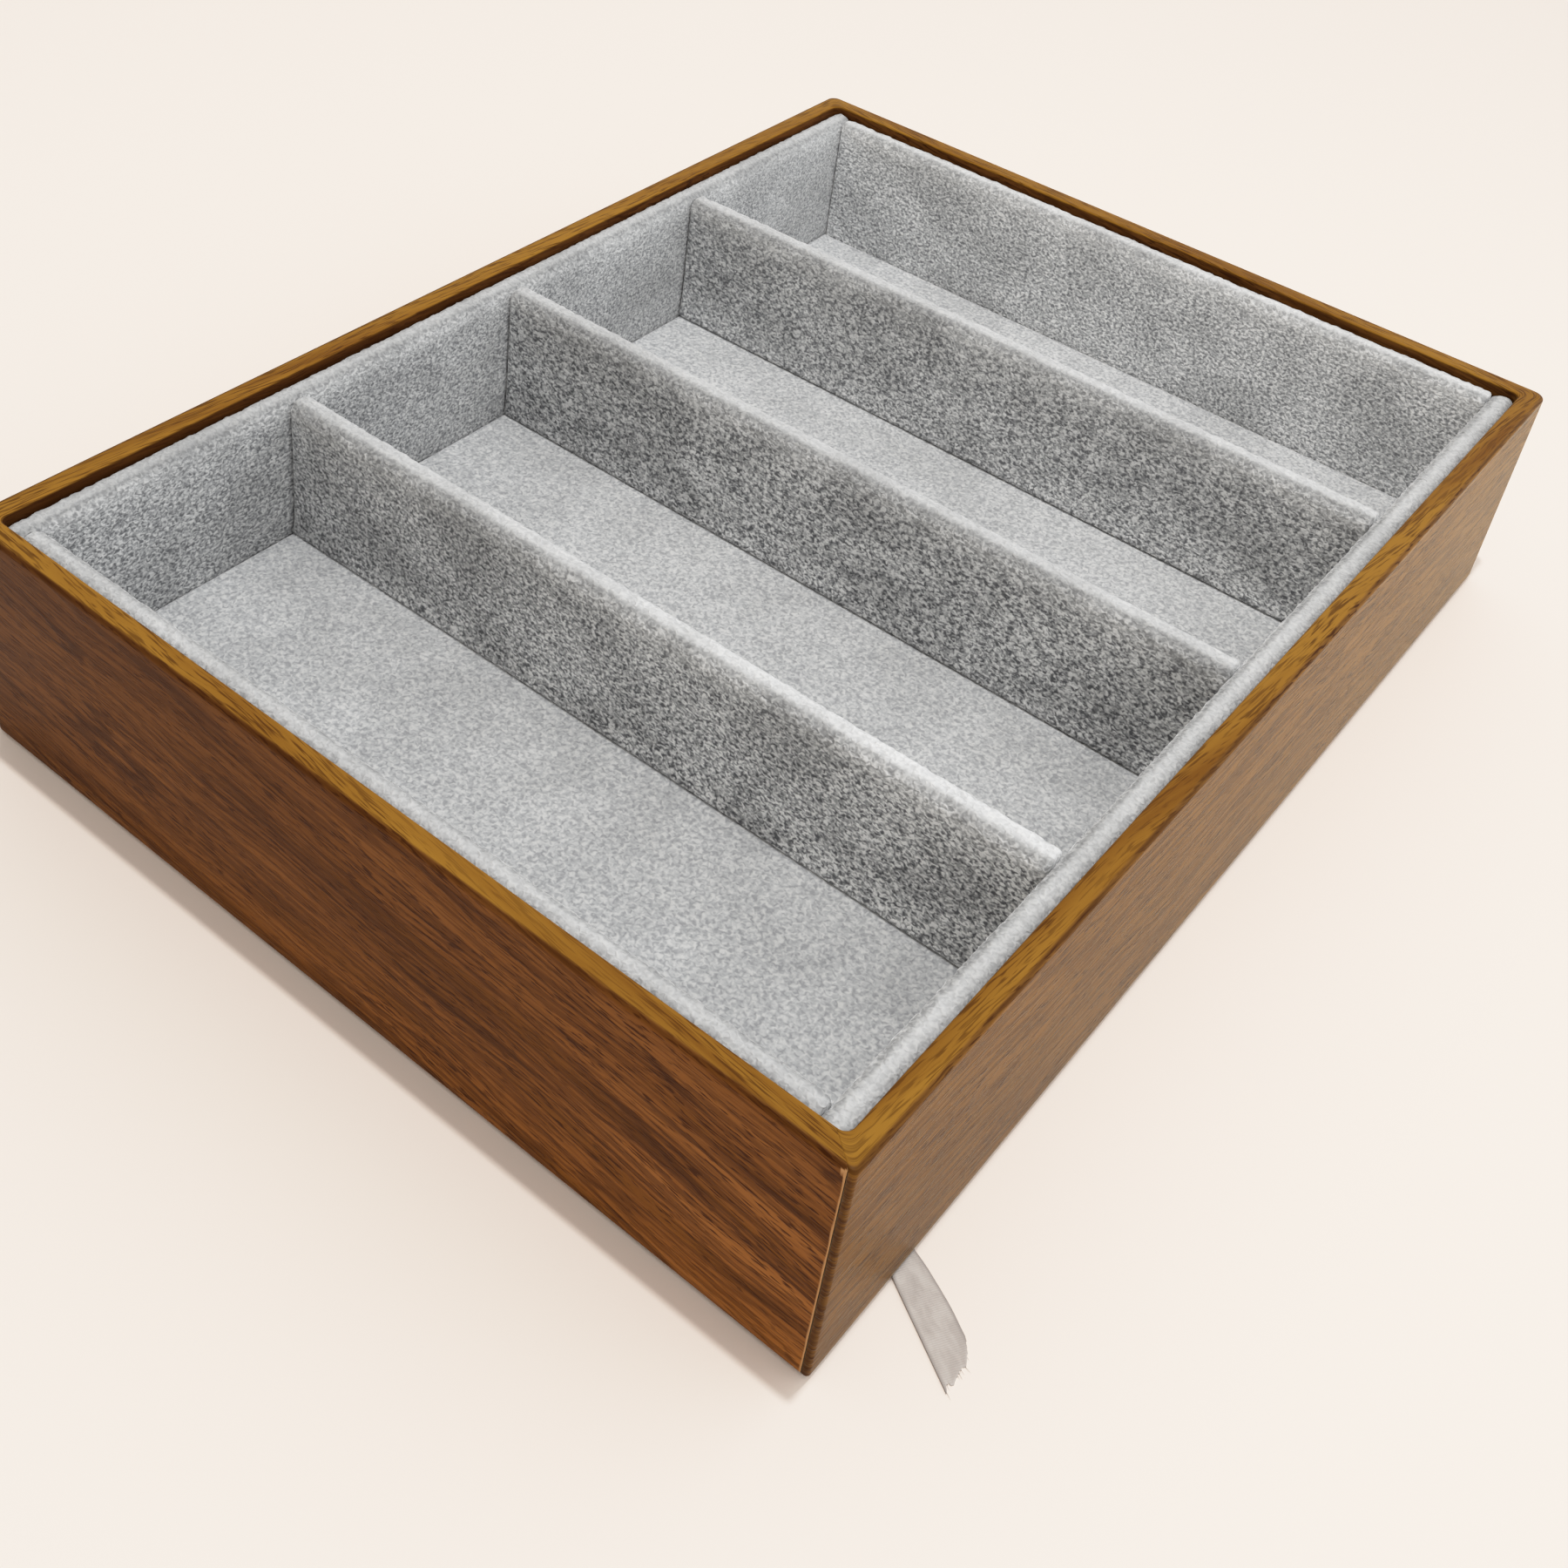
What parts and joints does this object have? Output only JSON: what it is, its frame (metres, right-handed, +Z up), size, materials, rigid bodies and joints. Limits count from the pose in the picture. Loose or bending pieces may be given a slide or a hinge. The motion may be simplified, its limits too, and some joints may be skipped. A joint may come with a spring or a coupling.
{
  "type": "glasses storage box",
  "caption": "Open velvet-lined tray with a wood-grain outside and long compartments that keep pairs of glasses apart, with a short ribbon under one side.",
  "frame": {"origin": "middle of the box's footprint, on the surface it stands on", "axes": "+Z up, +X along the compartments towards the side with the ribbon, +Y across the compartments towards the back"},
  "size_m": [0.195, 0.245, 0.0465],
  "materials": {
    "fibreboard": "raw fibreboard",
    "wood_film": "satin film printed with walnut grain",
    "grey_board": "raw grey board",
    "velvet": "short-pile grey velvet",
    "foam": "soft foam",
    "flannel": "thin brushed flannel",
    "ribbon": "satin weave"
  },
  "bodies": {
    "tray": {"front_board": "fibreboard", "back_board": "fibreboard", "left_board": "fibreboard", "right_board": "fibreboard", "base_board": "fibreboard", "wood_grain_wrap": "wood_film", "front_liner_core": "grey_board", "back_liner_core": "grey_board", "left_liner_core": "grey_board", "right_liner_core": "grey_board", "front_liner_velvet": "velvet", "back_liner_velvet": "velvet", "left_liner_velvet": "velvet", "right_liner_velvet": "velvet", "divider_1_core": "grey_board", "divider_2_core": "grey_board", "divider_3_core": "grey_board", "divider_1_velvet": "velvet", "divider_2_velvet": "velvet", "divider_3_velvet": "velvet", "floor_card": "grey_board", "floor_velvet": "velvet", "foam_pad": "foam", "bottom_lining": "flannel", "ribbon_anchor": "ribbon"},
    "ribbon": {"ribbon_tail": "ribbon"}
  },
  "joints": [
    {"name": "ribbon_fold", "type": "hinge", "parent": "tray", "child": "ribbon", "pos_m": [0.09015, -0.0999, 0.0003], "axis": [0, -1, 0], "range_deg": [0, 85]}
  ]
}
